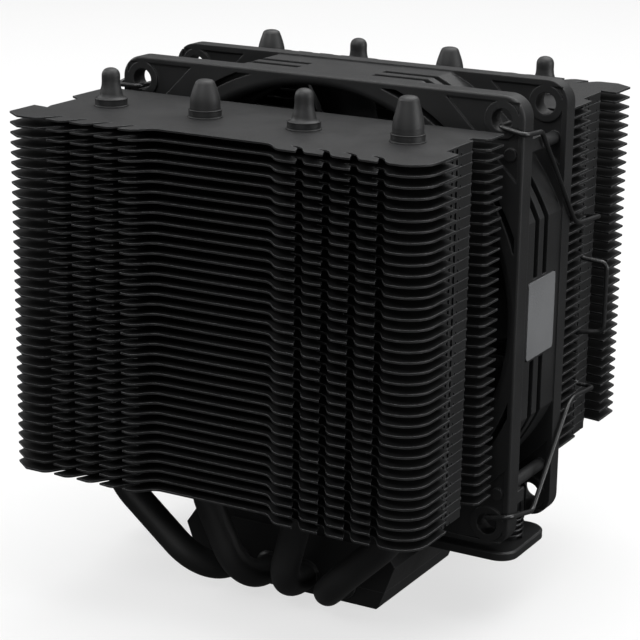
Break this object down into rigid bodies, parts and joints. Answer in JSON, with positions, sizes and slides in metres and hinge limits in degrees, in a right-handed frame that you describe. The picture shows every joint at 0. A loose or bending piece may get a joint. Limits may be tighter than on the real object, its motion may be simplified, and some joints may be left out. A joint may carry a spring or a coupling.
{
  "type": "cpu tower cooler",
  "caption": "Twin-tower processor cooler: barbed black fin stacks on looped heat pipes, a square fan held between them by wire clips, a solid base and a bar with sprung screws.",
  "frame": {"origin": "centre of the contact face of the base", "axes": "+Z away from the processor, +X across the towers along the mounting bar, +Y along the airflow from the front tower to the rear tower"},
  "size_m": [0.0995, 0.1006, 0.111],
  "materials": {
    "fin_coating": "satin black coating on thin aluminium",
    "pipe_coating": "satin black coating",
    "base_coating": "satin black coating, machined contact face",
    "bar_coating": "satin black coating",
    "fastener": "black oxide",
    "spring_steel": "black oxide",
    "fan_plastic": "fine moulded grain",
    "rotor_plastic": "moulded, soft sheen",
    "badge": "satin grey inlay",
    "bearing_brass": "turned",
    "board": "solder mask",
    "motor_steel": "stamped",
    "copper_wire": "enamelled winding",
    "magnet": "sintered",
    "clip_wire": "black coated spring wire"
  },
  "bodies": {
    "root": {"front_fin_stack": "fin_coating", "rear_fin_stack": "fin_coating", "heat_pipe_1": "pipe_coating", "heat_pipe_2": "pipe_coating", "heat_pipe_3": "pipe_coating", "heat_pipe_4": "pipe_coating", "cold_plate": "base_coating", "base_block": "base_coating", "mounting_bar": "bar_coating", "bar_screws": "fastener", "left_spring": "spring_steel", "right_spring": "spring_steel", "fan_frame": "fan_plastic", "left_badge": "badge", "right_badge": "badge", "bearing": "bearing_brass", "circuit_board": "board", "stator_core": "motor_steel", "stator_coils": "copper_wire"},
    "rotor": {"fan_rotor": "rotor_plastic", "rotor_yoke": "motor_steel", "magnet_ring": "magnet", "fan_shaft": "motor_steel"},
    "left_ring": {"left_retaining_ring": "spring_steel"},
    "left_screw": {"left_spring_screw": "fastener"},
    "right_ring": {"right_retaining_ring": "spring_steel"},
    "right_screw": {"right_spring_screw": "fastener"},
    "left_clip": {"left_wire_clip": "clip_wire"},
    "right_clip": {"right_wire_clip": "clip_wire"}
  },
  "joints": [
    {"name": "fan_spin", "type": "hinge", "parent": "root", "child": "rotor", "pos_m": [0.0018, 0.0013, 0.063], "axis": [0, 1, 0], "continuous": true},
    {"name": "left_screw_press", "type": "slide", "parent": "root", "child": "left_ring", "axis": [0, 0, -1], "range_m": [0, 0.0024], "stiffness_N_per_m": 2000, "springref_m": -0.002, "deforming": ["left_spring"]},
    {"name": "left_screw_turn", "type": "hinge", "parent": "left_ring", "child": "left_screw", "pos_m": [-0.0432, 0, 0.018], "axis": [0, 0, -1], "continuous": true},
    {"name": "left_clip_swing", "type": "hinge", "parent": "root", "child": "left_clip", "pos_m": [-0.03945, -0.0091, 0.063], "axis": [0, 0, 1], "range_deg": [0, 20]},
    {"name": "right_screw_press", "type": "slide", "parent": "root", "child": "right_ring", "axis": [0, 0, -1], "range_m": [0, 0.0024], "stiffness_N_per_m": 2000, "springref_m": -0.002, "deforming": ["right_spring"]},
    {"name": "right_screw_turn", "type": "hinge", "parent": "right_ring", "child": "right_screw", "pos_m": [0.0432, 0, 0.018], "axis": [0, 0, -1], "continuous": true},
    {"name": "right_clip_swing", "type": "hinge", "parent": "root", "child": "right_clip", "pos_m": [0.04305, -0.0091, 0.063], "axis": [0, 0, -1], "range_deg": [0, 20]}
  ]
}
